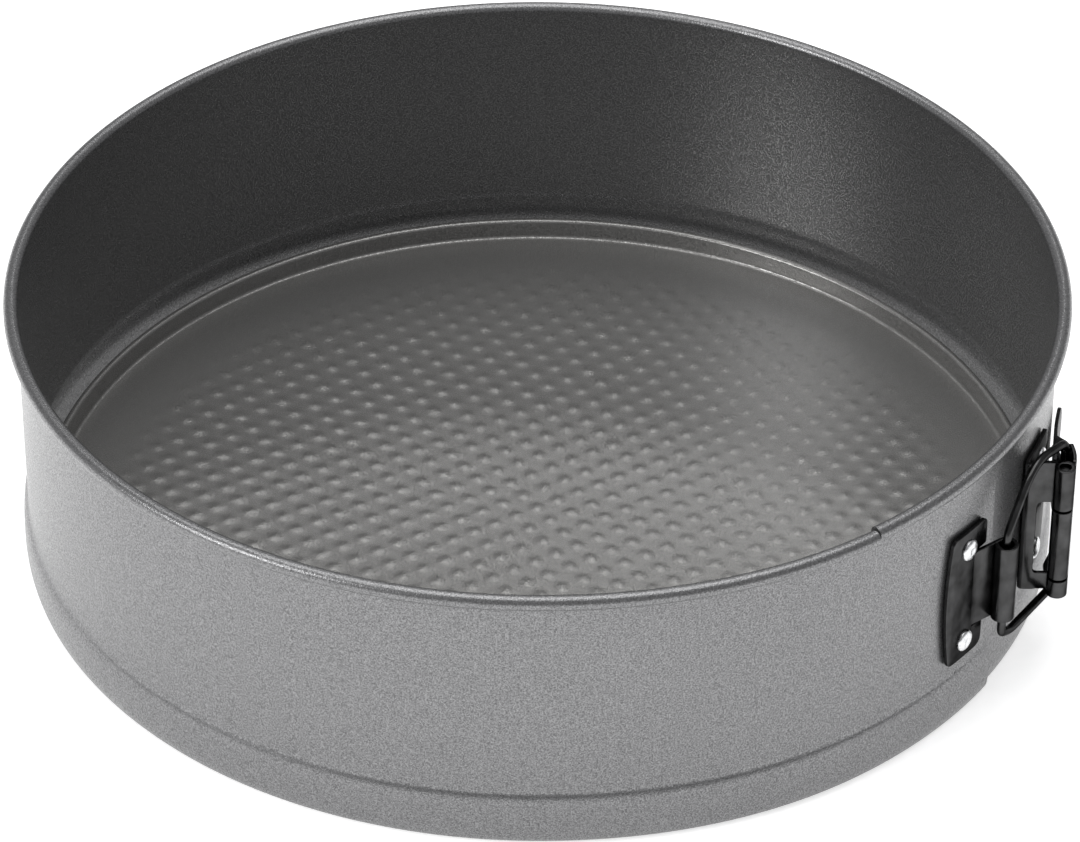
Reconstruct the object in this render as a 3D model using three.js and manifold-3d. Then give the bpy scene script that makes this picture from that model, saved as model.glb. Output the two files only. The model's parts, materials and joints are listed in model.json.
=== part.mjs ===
// Springform pan, nominal 9 inch (23 cm): a thin steel ring that wraps once round a lift-out base,
// drawn tight by an over-centre latch of two riveted brackets, a wire bail and a folding lever.
//
// Millimetres, +Z up. The origin is the centre of the pan in the plane it stands on.
// The latch is on the +X side. X points outwards there and Y runs along the ring.
// The ring is one strip of steel that bends as it opens. Rigid bodies can't bend, so it is held
// as two stretches that meet at a stiff hinge line behind, diametrically opposite the latch.
import * as THREE from 'three';
import { mergeVertices } from 'three/addons/utils/BufferGeometryUtils.js';
import Module from 'manifold-3d';

const wasm = await Module();
wasm.setup();

const DEG = Math.PI / 180;

function polar(radius, azimuth) {
  return new THREE.Vector2(radius * Math.cos(azimuth), radius * Math.sin(azimuth));
}

// Ring
const SHEET = 0.6;                  // thickness of the ring and the base
const WALL_R = 114.8;               // middle of the sheet in the upright wall
const PAN_HEIGHT = 66;
const CURL_R = 1.35;                // middle of the sheet in the rolled rim
const CURL_TURN = 300 * DEG;        // how far the rim is rolled
const BEAD_OUT = 1.2;               // how far the bead that takes the base stands out
const BEAD_BELLY = 5.2;             // where it stands out most
const BEAD_SHOULDER = 12.4;         // its round top ends here, still standing out a little
const SHOULDER_OUT = 0.45;
const SHOULDER_LEAN = 0.45;         // how far it leans in there for each millimetre up
const BEAD_TOP = 14.4;              // the hollow above the bead runs out into the wall here
const LIP_R = 113.85;               // middle of the sheet at the bottom edge
const LAP_STEP = 0.95;              // the outer layer of the lap clears the inner one by this
const LAP_END = -2.9 * DEG;         // end of the outer layer, under the catch knuckle
const LAP_LIP_CUT = 2.9;            // below this the inner layer of the lap is cut away
const RIM_NOTCH = -22.9 * DEG;      // where the outer layer's rim is cut back
const NOTCH_HALF = 0.2 * DEG;
const LAP_RISE_START = -62 * DEG;   // the outer layer eases outwards from here
const LAP_RISE_END = -26 * DEG;
const HINGE_AZ = LAP_END + Math.PI; // where the ring flexes
const HINGE_HALF_GAP = 0.07 * DEG;
const SWEEP_STEP = 4.5 * DEG;

// Base
const FLOOR_Z = 1.8;                // middle of the sheet
const FLOOR_R = 111.2;              // foot of the raised edge
const CREST_R = 112.2;
const CREST_Z = 5.7;
const CREST_ROUND = 0.7;
const BASE_SKIRT_Z = 4.2;           // the edge turns down again to here
const BASE_SEGMENTS = 80;

// Latch, heights
const LATCH_Z = 33.8;
const PLATE_HALF = 16.8;
const RIVET_HALF = 12.1;
const CATCH_KNUCKLE_HALF = 9.7;
const PIVOT_KNUCKLE_LOW = 21.8;
const PIVOT_KNUCKLE_HIGH = 40.4;
const STACK_TOP = 51.2;
const STACK_BOTTOM = 17.2;
const BAIL_TOP = 57.6;              // highest corner of the bail, part way across
const BAIL_FAR_TOP = 53.0;
const BAIL_FAR_LOW = 15.1;
const BAIL_NEAR_LOW = 17.4;
const PLAY = 0.3;                   // running clearance between pieces
const REACH = 8;                    // how far a cutting solid runs past what it cuts

// Latch, plan
const METAL = 1.0;                  // thickness of the bracket sheet
const LEVER_SHEET = 0.8;
const OUTER_FACE = WALL_R + SHEET / 2;
const INNER_FACE = WALL_R - SHEET / 2;
const CATCH_RIVET_AZ = -8.6 * DEG;
const HINGE_RIVET_AZ = 9.8 * DEG;
const CATCH_ROOT_AZ = -7.2 * DEG;   // where the catch bracket's tongue leaves its plate
const PIVOT_ROOT_AZ = 5.2 * DEG;
const PLATE_SECTOR = 13 * DEG;      // a plate is cut from a shell this far to either side
const PLATE_BACK = 5.2;             // from the rivet line to the plate's outer corners
const PLATE_BOW = 1.6;              // how far that edge bows out between its corners
const FIN_SHARE = 0.4;              // the fin's width as a share of the way to the pin
const CATCH = polar(120.8, -4.1 * DEG);
const PIVOT = polar(124.1, 6.0 * DEG);
const BAIL_ARM = 6.4;               // from the lever's pivot to the bail's far leg
const OVER_CENTRE = 34 * DEG;       // the far leg lies this far inside the line of pull
const CATCH_KNUCKLE_R = 2.6;
const PIVOT_KNUCKLE_R = 2.3;
const PIN_R = 1.15;
const PIN_BORE_R = 1.45;
const WIRE_R = 0.95;
const WIRE_BORE_R = 1.45;
const SHANK_R = 1.4;
const SHANK_HOLE_R = 1.65;
const HEAD_R = 2.6;
const HEAD_RISE = 1.1;
const TAIL_R = 2.2;
const TAIL_THICK = 0.4;

const BLADE_TIP = polar(116.7, 25.5 * DEG);
const PIVOT_LINE = PIVOT.clone().sub(CATCH).angle();
const FAR_LEG = new THREE.Vector2(BAIL_ARM, 0)
  .rotateAround(new THREE.Vector2(), PIVOT_LINE + OVER_CENTRE)
  .add(PIVOT);

// ---------- solids ----------

function toSolid(geometry) {
  const plain = geometry.index ? geometry.toNonIndexed() : geometry.clone();
  plain.deleteAttribute('normal');
  plain.deleteAttribute('uv');
  const merged = mergeVertices(plain, 1e-4);
  const mesh = new wasm.Mesh({
    numProp: 3,
    vertProperties: new Float32Array(merged.attributes.position.array),
    triVerts: new Uint32Array(merged.index.array),
  });
  return new wasm.Manifold(mesh);
}

function toGeometry(solid) {
  const mesh = solid.getMesh();
  const geometry = new THREE.BufferGeometry();
  geometry.setAttribute('position', new THREE.BufferAttribute(mesh.vertProperties, 3));
  geometry.setIndex(new THREE.BufferAttribute(mesh.triVerts, 1));
  geometry.computeVertexNormals();
  return geometry;
}

// Points on an arc in a plane, both ends included.
function arcPoints(centreX, centreY, radius, from, to, count) {
  const points = [];
  for (let i = 0; i <= count; i++) {
    const angle = from + ((to - from) * i) / count;
    const x = centreX + radius * Math.cos(angle);
    const y = centreY + radius * Math.sin(angle);
    points.push(new THREE.Vector2(x, y));
  }
  return points;
}

// The closed outline of a sheet of even thickness that follows an open middle line.
function sheetOutline(line, thickness) {
  const left = [];
  const right = [];
  for (let i = 0; i < line.length; i++) {
    const before = line[Math.max(i - 1, 0)];
    const after = line[Math.min(i + 1, line.length - 1)];
    const here = line[i];
    const inDir = here.clone().sub(before).normalize();
    const outDir = after.clone().sub(here).normalize();
    const along = inDir.add(outDir).normalize();
    const corner = i > 0 && i < line.length - 1 ? along.dot(outDir) : 1;
    const across = new THREE.Vector2(-along.y, along.x).multiplyScalar(thickness / 2 / corner);
    left.push(here.clone().add(across));
    right.push(here.clone().sub(across));
  }
  return left.concat(right.reverse());
}

// A prism between two heights from an outline in plan.
function prism(outline, low, high) {
  const shape = new THREE.Shape(outline);
  const geometry = new THREE.ExtrudeGeometry(shape, { depth: high - low, bevelEnabled: false });
  geometry.translate(0, 0, low);
  return toSolid(geometry);
}

function upright(centre, radius, low, high, sides = 20) {
  const geometry = new THREE.CylinderGeometry(radius, radius, high - low, sides);
  geometry.rotateX(Math.PI / 2);
  geometry.translate(centre.x, centre.y, (low + high) / 2);
  return toSolid(geometry);
}

// A cylinder or dome along the outward direction at one azimuth, from one radius to another.
function radialRod(azimuth, height, radius, inner, outer, sides = 20) {
  const geometry = new THREE.CylinderGeometry(radius, radius, outer - inner, sides);
  geometry.rotateZ(-Math.PI / 2);
  geometry.translate((inner + outer) / 2, 0, height);
  geometry.rotateZ(azimuth);
  return toSolid(geometry);
}

// ---------- ring ----------

function lapOffset(azimuth) {
  const t = (azimuth - LAP_RISE_START) / (LAP_RISE_END - LAP_RISE_START);
  return LAP_STEP * THREE.MathUtils.smoothstep(t, 0, 1);
}

class RingPath extends THREE.Curve {
  constructor(from, to, lapped) {
    super();
    this.from = from;
    this.to = to;
    this.lapped = lapped;
  }

  getPoint(t, target = new THREE.Vector3()) {
    const azimuth = this.from + (this.to - this.from) * t;
    const radius = WALL_R + (this.lapped ? lapOffset(azimuth) : 0);
    return target.set(radius * Math.cos(azimuth), radius * Math.sin(azimuth), 0);
  }
}

// Middle line of the ring's section, from the bottom edge up: x is outwards from WALL_R, y is up.
function ringSection() {
  const curlCentre = PAN_HEIGHT - CURL_R - SHEET / 2;
  const lip = new THREE.CubicBezierCurve(
    new THREE.Vector2(LIP_R - WALL_R, SHEET / 2),
    new THREE.Vector2(BEAD_OUT - SHEET / 2, SHEET / 2),
    new THREE.Vector2(BEAD_OUT, BEAD_BELLY / 2),
    new THREE.Vector2(BEAD_OUT, BEAD_BELLY),
  ).getPoints(4);
  const lead = (BEAD_SHOULDER - BEAD_BELLY) / 4;
  const shoulder = new THREE.CubicBezierCurve(
    new THREE.Vector2(BEAD_OUT, BEAD_BELLY),
    new THREE.Vector2(BEAD_OUT, BEAD_BELLY + 2 * lead),
    new THREE.Vector2(SHOULDER_OUT + SHOULDER_LEAN * lead, BEAD_SHOULDER - lead),
    new THREE.Vector2(SHOULDER_OUT, BEAD_SHOULDER),
  ).getPoints(4);
  const hollow = new THREE.QuadraticBezierCurve(
    new THREE.Vector2(SHOULDER_OUT, BEAD_SHOULDER),
    new THREE.Vector2(0, BEAD_SHOULDER + SHOULDER_OUT / SHOULDER_LEAN),
    new THREE.Vector2(0, BEAD_TOP),
  ).getPoints(3);
  const curl = arcPoints(CURL_R, curlCentre, CURL_R, Math.PI, Math.PI - CURL_TURN, 9);
  return [...lip, ...shoulder.slice(1), ...hollow.slice(1), ...curl];
}

// Along a path that turns anticlockwise, a shape's x comes out downwards and its y inwards.
function sweepRing(section, from, to, lapped) {
  const shape = new THREE.Shape(section.map((p) => new THREE.Vector2(-p.y, -p.x)));
  const steps = Math.ceil((to - from) / SWEEP_STEP);
  const extrudePath = new RingPath(from, to, lapped);
  return toSolid(new THREE.ExtrudeGeometry(shape, { steps, extrudePath, bevelEnabled: false }));
}

function sectorBlock(inner, outer, low, high, from, to) {
  const section = [[inner, low], [outer, low], [outer, high], [inner, high]]
    .map(([radius, z]) => new THREE.Vector2(radius - WALL_R, z));
  return sweepRing(section, from, to, false);
}

function rivetHoles(azimuth, radius) {
  const upper = radialRod(azimuth, LATCH_Z + RIVET_HALF, radius, WALL_R - REACH, WALL_R + REACH);
  const lower = radialRod(azimuth, LATCH_Z - RIVET_HALF, radius, WALL_R - REACH, WALL_R + REACH);
  return upper.add(lower);
}

function ringOuterEnd() {
  const rimBottom = PAN_HEIGHT - 2 * CURL_R - SHEET - PLAY;
  const start = HINGE_AZ - 2 * Math.PI + HINGE_HALF_GAP;
  const strip = sweepRing(sheetOutline(ringSection(), SHEET), start, LAP_END, true);
  const cutFrom = RIM_NOTCH - NOTCH_HALF;
  const above = PAN_HEIGHT + REACH;
  const rimCut = sectorBlock(WALL_R - REACH, WALL_R + REACH, rimBottom, above, cutFrom, -LAP_END);
  return strip.subtract(rimCut).subtract(rivetHoles(CATCH_RIVET_AZ, SHANK_HOLE_R));
}

function ringInnerEnd() {
  const start = RIM_NOTCH + NOTCH_HALF;
  const end = HINGE_AZ - HINGE_HALF_GAP;
  const strip = sweepRing(sheetOutline(ringSection(), SHEET), start, end, false);
  const cutFrom = start + LAP_END;
  const lipCut = sectorBlock(WALL_R - REACH, WALL_R + REACH, -REACH, LAP_LIP_CUT, cutFrom, LAP_END);
  return strip.subtract(lipCut).subtract(rivetHoles(HINGE_RIVET_AZ, SHANK_HOLE_R));
}

// ---------- base ----------

function baseDisc() {
  const foot = new THREE.QuadraticBezierCurve(
    new THREE.Vector2(FLOOR_R - 2 * SHEET, FLOOR_Z),
    new THREE.Vector2(FLOOR_R, FLOOR_Z),
    new THREE.Vector2(FLOOR_R + SHEET / 4, FLOOR_Z + 2 * SHEET),
  ).getPoints(3);
  const crest = arcPoints(CREST_R, CREST_Z, CREST_ROUND, 165 * DEG, 0, 6);
  const line = [
    new THREE.Vector2(0, FLOOR_Z),
    ...foot,
    ...crest,
    new THREE.Vector2(CREST_R + CREST_ROUND, BASE_SKIRT_Z),
  ];
  const outline = sheetOutline(line, SHEET).reverse();
  outline.push(outline[0]);
  return toSolid(new THREE.LatheGeometry(outline, BASE_SEGMENTS).rotateX(Math.PI / 2));
}

// ---------- brackets ----------

// A plate curved to the ring, cut out of a shell by its outline. u is along the ring from the
// rivet line towards the lap, v is up from the latch's middle height.
function curvedPlate(outline, azimuth, towardsLap, inner) {
  const from = azimuth - PLATE_SECTOR;
  const to = azimuth + PLATE_SECTOR;
  const shell = sectorBlock(inner, inner + METAL, 0, PAN_HEIGHT, from, to);
  const shape = new THREE.Shape(outline.map((p) => new THREE.Vector2(p.x * towardsLap, p.y)));
  const block = new THREE.ExtrudeGeometry(shape, { depth: 2 * REACH, bevelEnabled: false });
  block.rotateX(Math.PI / 2);
  block.rotateZ(Math.PI / 2);
  block.translate(inner - REACH, 0, LATCH_Z);
  block.rotateZ(azimuth);
  return shell.intersect(toSolid(block));
}

// The plate's outline: a bowed back edge, square ends and a straight edge on the lap's side.
function plateOutline(front, cornerRound) {
  const top = PLATE_HALF;
  const edge = new THREE.QuadraticBezierCurve(
    new THREE.Vector2(-PLATE_BACK, top),
    new THREE.Vector2(-PLATE_BACK - 2 * PLATE_BOW, 0),
    new THREE.Vector2(-PLATE_BACK, -top),
  ).getPoints(8);
  const low = arcPoints(front - cornerRound, -top + cornerRound, cornerRound, -90 * DEG, 0, 4);
  const high = arcPoints(front - cornerRound, top - cornerRound, cornerRound, 0, 90 * DEG, 4);
  return [...edge, ...low, ...high];
}

// Where a strip that comes from a point meets the side of its own roll nearer the ring.
function rollStart(from, centre, radius) {
  const reach = centre.clone().sub(from);
  const side = new THREE.Vector2(-reach.y, reach.x).normalize();
  return centre.clone().addScaledVector(side, radius - METAL / 2);
}

// A strip that leaves the plate and rolls outwards round a pin: straight tongue, closed knuckle.
function rolledTongue(from, centre, radius, bore, low, high) {
  const roll = upright(centre, radius, low, high);
  const touch = rollStart(from, centre, radius);
  const strip = prism(sheetOutline([from, touch], METAL), low, high);
  return roll.add(strip).subtract(upright(centre, bore, low - REACH, high + REACH));
}

// What the ring and the piece's own clearance take away from a tongue.
function withinRing(inner) {
  return sectorBlock(inner - REACH, inner, 0, PAN_HEIGHT, -2 * PLATE_SECTOR, 2 * PLATE_SECTOR);
}

function catchBracket() {
  const inner = OUTER_FACE + LAP_STEP + PLAY;
  const front = 6.8;
  const plate = curvedPlate(plateOutline(front, 1.0), CATCH_RIVET_AZ, 1, inner);
  const root = polar(inner + METAL / 2, CATCH_ROOT_AZ);
  const low = LATCH_Z - CATCH_KNUCKLE_HALF;
  const high = LATCH_Z + CATCH_KNUCKLE_HALF;
  const tongue = rolledTongue(root, CATCH, CATCH_KNUCKLE_R, WIRE_BORE_R, low, high);
  const bracket = plate.add(tongue.subtract(withinRing(inner)));
  return bracket.subtract(rivetHoles(CATCH_RIVET_AZ, SHANK_HOLE_R));
}

// The hinge bracket's plate turns up into a fin, whose top and bottom roll round the pin. The
// lever's own knuckle fills the space that is cut out of the fin between them.
function hingeBracket() {
  const inner = OUTER_FACE + PLAY;
  const front = (HINGE_RIVET_AZ - PIVOT_ROOT_AZ) * inner + METAL / 2;
  const plate = curvedPlate(plateOutline(front, 0.6), HINGE_RIVET_AZ, -1, inner);
  const root = polar(inner + METAL / 2, PIVOT_ROOT_AZ);
  const edge = root.clone().lerp(rollStart(root, PIVOT, PIVOT_KNUCKLE_R), FIN_SHARE);
  const finLine = sheetOutline([root, edge], METAL);
  const fin = prism(finLine, LATCH_Z - PLATE_HALF, LATCH_Z + PLATE_HALF);
  const roll = (low, high) => rolledTongue(root, PIVOT, PIVOT_KNUCKLE_R, PIN_BORE_R, low, high);
  const upper = roll(PIVOT_KNUCKLE_HIGH + PLAY, STACK_TOP);
  const lower = roll(STACK_BOTTOM, PIVOT_KNUCKLE_LOW - PLAY);
  const raised = fin.add(upper).add(lower).subtract(withinRing(inner));
  return plate.add(raised).subtract(rivetHoles(HINGE_RIVET_AZ, SHANK_HOLE_R));
}

// A domed head outside the plate, a shank through it and the ring, and a flat tail within.
function rivet(azimuth, height, face, tailInner, tailRadius) {
  const rimShare = 0.25;
  const profile = [new THREE.Vector2(0, 0), new THREE.Vector2(HEAD_R, 0)];
  for (let i = 4; i >= 0; i--) {
    const t = (i / 4) * (Math.PI / 2);
    const rise = rimShare + (1 - rimShare) * Math.cos(t);
    profile.push(new THREE.Vector2(HEAD_R * Math.sin(t), HEAD_RISE * rise));
  }
  const dome = new THREE.LatheGeometry(profile, 20);
  dome.rotateZ(-Math.PI / 2);
  dome.translate(face, 0, height);
  dome.rotateZ(azimuth);
  const shank = radialRod(azimuth, height, SHANK_R, tailInner, face + PLAY / 2);
  const tail = radialRod(azimuth, height, tailRadius, tailInner, tailInner + TAIL_THICK);
  return toSolid(dome).add(shank).add(tail);
}

// The catch rivets end flush inside the outer layer, so the inner layer slides past them.
function catchRivet(height) {
  const face = OUTER_FACE + LAP_STEP + 2 * PLAY + METAL;
  return rivet(CATCH_RIVET_AZ, height, face, INNER_FACE + LAP_STEP, SHANK_R);
}

function hingeRivet(height) {
  const face = OUTER_FACE + 2 * PLAY + METAL;
  return rivet(HINGE_RIVET_AZ, height, face, INNER_FACE - PLAY - TAIL_THICK, TAIL_R);
}

// ---------- lever, pin and bail ----------

function hingePin() {
  return upright(PIVOT, PIN_R, STACK_BOTTOM + PLAY, STACK_TOP - 2 * PLAY);
}

// The blade's middle line in plan, from the pivot round the outside of the bail's far leg.
function bladeLine() {
  const half = LEVER_SHEET / 2;
  const start = new THREE.Vector2(PIVOT.x + PIVOT_KNUCKLE_R - half, PIVOT.y);
  const bulge = new THREE.Vector2(FAR_LEG.x + WIRE_R + 2 * PLAY + half, FAR_LEG.y + half);
  const settle = polar(118.3, 14 * DEG);
  const beside = polar(116.2, 19 * DEG);
  return new THREE.SplineCurve([start, bulge, settle, beside, BLADE_TIP]).getPoints(18);
}

// The blade in elevation: along the ring, narrowing to a round end.
function bladeElevation() {
  const rootHalf = 8.6;
  const tipHalf = 6.8;
  const back = PIVOT.y - 1.5;
  const pastLeg = FAR_LEG.y + 1.5;
  const root = PIVOT.y + 9;
  const end = BLADE_TIP.y - tipHalf;
  const tip = arcPoints(end, LATCH_Z, tipHalf, -90 * DEG, 90 * DEG, 10);
  const outline = [
    new THREE.Vector2(back, STACK_BOTTOM),
    new THREE.Vector2(pastLeg, STACK_BOTTOM),
    new THREE.Vector2(root, LATCH_Z - rootHalf),
    ...tip,
    new THREE.Vector2(root, LATCH_Z + rootHalf),
    new THREE.Vector2(pastLeg, STACK_TOP),
    new THREE.Vector2(back, STACK_TOP),
  ];
  const shape = new THREE.Shape(outline);
  const block = new THREE.ExtrudeGeometry(shape, { depth: 6 * REACH, bevelEnabled: false });
  block.rotateX(Math.PI / 2);
  block.rotateZ(Math.PI / 2);
  block.translate(PIVOT.x - 4 * REACH, 0, 0);
  return toSolid(block);
}

// A flange folded inwards from the blade, with a slot that the bail's far leg runs in. Its points
// are given along the line from the pivot to the far leg at rest, and outwards across that line.
function leverEar(low) {
  const line = new THREE.Vector2().subVectors(FAR_LEG, PIVOT).normalize();
  const across = new THREE.Vector2(line.y, -line.x);
  const at = (x, y) => PIVOT.clone().addScaledVector(line, x).addScaledVector(across, y);
  const outline = [
    at(3.4, 2.2),
    at(3.4, -2.6),
    at(8.0, -2.9),
    at(12.2, -1.6),
    at(10.4, 0.4),
    at(7.2, 2.2),
  ];
  const plate = prism(outline, low, low + METAL);
  const slotHalf = WIRE_R + 2.5 * PLAY;
  const slotStart = 3.7;
  const near = arcPoints(slotStart, 0, slotHalf, -90 * DEG, -270 * DEG, 6);
  const far = arcPoints(BAIL_ARM, 0, slotHalf, 90 * DEG, -90 * DEG, 6);
  const slot = [...near, ...far].map((p) => at(p.x, p.y));
  return plate.subtract(prism(slot, low - REACH, low + REACH));
}

function lever() {
  const sheet = prism(sheetOutline(bladeLine(), LEVER_SHEET), 0, PAN_HEIGHT);
  const blade = sheet.intersect(bladeElevation());
  const ears = leverEar(STACK_TOP - METAL - 2 * PLAY).add(leverEar(STACK_BOTTOM + 2 * PLAY));
  const clear = PIVOT_KNUCKLE_R + 2 * PLAY;
  const above = upright(PIVOT, clear, PIVOT_KNUCKLE_HIGH, PAN_HEIGHT);
  const below = upright(PIVOT, clear, 0, PIVOT_KNUCKLE_LOW);
  const knuckle = upright(PIVOT, PIVOT_KNUCKLE_R, PIVOT_KNUCKLE_LOW, PIVOT_KNUCKLE_HIGH);
  const bore = upright(PIVOT, PIN_BORE_R, 0, PAN_HEIGHT);
  return blade.add(ears).subtract(above).subtract(below).add(knuckle).subtract(bore);
}

// A path of straight runs whose corners are rounded by the given amounts.
function roundedPath(points, rounds) {
  const path = new THREE.CurvePath();
  let from = points[0];
  for (let i = 1; i < points.length - 1; i++) {
    const corner = points[i];
    const back = points[i - 1].clone().sub(corner).setLength(rounds[i - 1]).add(corner);
    const ahead = points[i + 1].clone().sub(corner).setLength(rounds[i - 1]).add(corner);
    path.add(new THREE.LineCurve3(from, back));
    path.add(new THREE.QuadraticBezierCurve3(back, corner, ahead));
    from = ahead;
  }
  path.add(new THREE.LineCurve3(from, points[points.length - 1]));
  return path;
}

// The bail is one loop of wire whose ends meet inside the catch knuckle.
function bail() {
  const over = (share, height) => {
    const spot = CATCH.clone().lerp(FAR_LEG, share);
    return new THREE.Vector3(spot.x, spot.y, height);
  };
  const points = [
    over(0, LATCH_Z + PLAY / 2),
    over(0, LATCH_Z + CATCH_KNUCKLE_HALF + 2.4),
    over(0.42, BAIL_TOP),
    over(1, BAIL_FAR_TOP),
    over(1, BAIL_FAR_LOW),
    over(0.16, BAIL_NEAR_LOW),
    over(0, LATCH_Z - CATCH_KNUCKLE_HALF - 4.6),
    over(0, LATCH_Z - PLAY / 2),
  ];
  const extrudePath = roundedPath(points, [2.4, 6.5, 2.6, 2.6, 1.8, 1.2]);
  const sides = 10;
  const rim = arcPoints(0, 0, WIRE_R, 0, (2 * Math.PI * (sides - 1)) / sides, sides - 1);
  const circle = new THREE.Shape(rim);
  return toSolid(new THREE.ExtrudeGeometry(circle, { steps: 96, extrudePath, bevelEnabled: false }));
}

// ---------- assembly ----------

const COATED = new THREE.MeshStandardMaterial({ color: 0x6f7072, roughness: 0.45, metalness: 0.7 });
const BLACK = new THREE.MeshStandardMaterial({ color: 0x101114, roughness: 0.25, metalness: 0.6 });
const ZINC = new THREE.MeshStandardMaterial({ color: 0xd8dadc, roughness: 0.3, metalness: 0.9 });

const pan = new THREE.Group();
pan.name = 'springform_pan';

function addPart(name, solid, material) {
  const mesh = new THREE.Mesh(toGeometry(solid), material.clone());
  mesh.name = name;
  pan.add(mesh);
}

addPart('base_disc', baseDisc(), COATED);
addPart('ring_outer_end', ringOuterEnd(), COATED);
addPart('ring_inner_end', ringInnerEnd(), COATED);
addPart('catch_bracket', catchBracket(), BLACK);
addPart('catch_rivet_upper', catchRivet(LATCH_Z + RIVET_HALF), ZINC);
addPart('catch_rivet_lower', catchRivet(LATCH_Z - RIVET_HALF), ZINC);
addPart('hinge_bracket', hingeBracket(), BLACK);
addPart('hinge_rivet_upper', hingeRivet(LATCH_Z + RIVET_HALF), ZINC);
addPart('hinge_rivet_lower', hingeRivet(LATCH_Z - RIVET_HALF), ZINC);
addPart('hinge_pin', hingePin(), BLACK);
addPart('latch_lever', lever(), BLACK);
addPart('wire_bail', bail(), BLACK);

export default pan;
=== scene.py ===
"""Looks for the springform pan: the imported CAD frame, dressed in finely sampled sheet metal."""

import bisect
import json
import math

import bmesh
import bpy
from mathutils import Matrix, Quaternion, Vector

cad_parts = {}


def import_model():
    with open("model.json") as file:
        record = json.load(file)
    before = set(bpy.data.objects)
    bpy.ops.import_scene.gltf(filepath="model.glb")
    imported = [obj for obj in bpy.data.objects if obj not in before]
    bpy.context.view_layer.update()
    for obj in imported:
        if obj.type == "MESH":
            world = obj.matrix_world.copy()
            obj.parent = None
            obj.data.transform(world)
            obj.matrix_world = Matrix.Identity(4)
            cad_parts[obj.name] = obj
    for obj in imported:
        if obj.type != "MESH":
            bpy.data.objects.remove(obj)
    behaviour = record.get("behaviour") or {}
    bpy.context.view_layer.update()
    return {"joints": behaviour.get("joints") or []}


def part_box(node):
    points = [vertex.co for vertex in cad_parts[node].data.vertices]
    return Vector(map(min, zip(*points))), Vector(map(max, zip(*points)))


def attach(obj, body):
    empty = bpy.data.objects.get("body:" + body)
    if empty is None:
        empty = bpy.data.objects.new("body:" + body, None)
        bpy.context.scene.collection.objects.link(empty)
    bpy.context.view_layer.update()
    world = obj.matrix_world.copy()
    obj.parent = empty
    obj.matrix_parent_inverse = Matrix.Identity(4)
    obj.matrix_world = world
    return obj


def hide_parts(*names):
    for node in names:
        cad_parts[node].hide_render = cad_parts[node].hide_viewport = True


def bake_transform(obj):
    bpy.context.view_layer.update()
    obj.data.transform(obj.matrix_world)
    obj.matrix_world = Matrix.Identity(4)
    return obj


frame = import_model()

# Lengths are in millimetres until a mesh is finished. Angles are in radians.
MM = 0.001
DEG = math.pi / 180
QUARTER = 90 * DEG
HALF_TURN = 180 * DEG
TINY = 0.001                  # slack in comparing lengths or angles


def joint_place(name):
    """Where a hinge's axis stands in plan."""
    joint = next(j for j in frame["joints"] if j["name"] == name)
    return Vector(joint["pos_m"][:2]) / MM


def polar(radius, azimuth):
    """A point in plan from its distance and its direction."""
    return Vector((radius * math.cos(azimuth), radius * math.sin(azimuth)))


# Ring
SHEET = 0.6
CURL_R = 1.35                 # middle of the sheet in the rolled rim
CURL_TURN = 300 * DEG
LIP_IN = 0.95                 # how far the bottom edge turns in
BEAD_OUT = 1.2                # how far the bead at the foot stands out
BEAD_BELLY = 5.2              # height at which it stands out most
BEAD_SHOULDER = 12.4          # its round top ends here, still standing out a little
SHOULDER_OUT = 0.45
SHOULDER_LEAN = 0.45          # how far it leans in there for each millimetre up
BEAD_TOP = 14.4               # the hollow above the bead runs out into the wall here
STEP_RISE = 0.35              # a tight shoulder ends this much higher
STEP_RUN = 0.4                # and turns into the wall over this height
CRISP = 0.35                  # the shoulder's place between shallow (0) and tight (1)
CRISP_RUN = 8 * DEG           # past the lap the inner layer's shoulder tightens over this
LAP_LIP_CUT = 2.9             # below this the inner layer of the lap is cut away
LAP_STEP = 0.95               # the outer layer of the lap stands this far outside the inner one
LAP_END = -2.9 * DEG          # where the outer layer ends
LAP_RISE_START = -62 * DEG    # it moves outwards from here
LAP_RISE_END = -26 * DEG      # to here
RIM_NOTCH = -22.9 * DEG       # the rolled rim changes layers here
NOTCH_HALF = 0.2 * DEG
NOTCH_FLOOR = 62.4            # height that the outer layer is cut down to past the notch

inner_low, inner_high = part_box("ring_inner_end")
outer_low, outer_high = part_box("ring_outer_end")
RING_REACH = min(-inner_low.x, inner_high.y, -outer_low.y) / MM
PAN_HEIGHT = min(inner_high.z, outer_high.z) / MM
FOOT_Z = min(inner_low.z, outer_low.z) / MM
WALL_R = RING_REACH - 2 * CURL_R - SHEET / 2
OUTER_FACE = WALL_R + SHEET / 2

# Base
FLOOR_Z = 1.8
FLOOR_R = 111.2
FLOOR_STEP = 0.8              # spacing of the rings of points that carry the pattern
FLOOR_SIDES = 720
CREST_R = 112.2
CREST_Z = 5.7
CREST_ROUND = 0.7
CREST_LEAN = 15 * DEG
BASE_SKIRT_Z = 4.2
BUMP_PITCH = 5.6
BUMP_AZ = 62.8 * DEG          # direction of the pattern's rows
BUMP_RISE = 0.32
BUMP_R = 1.35
BUMP_FADE = (88.0, 101.0)     # the pattern fades out between these radii

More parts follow.
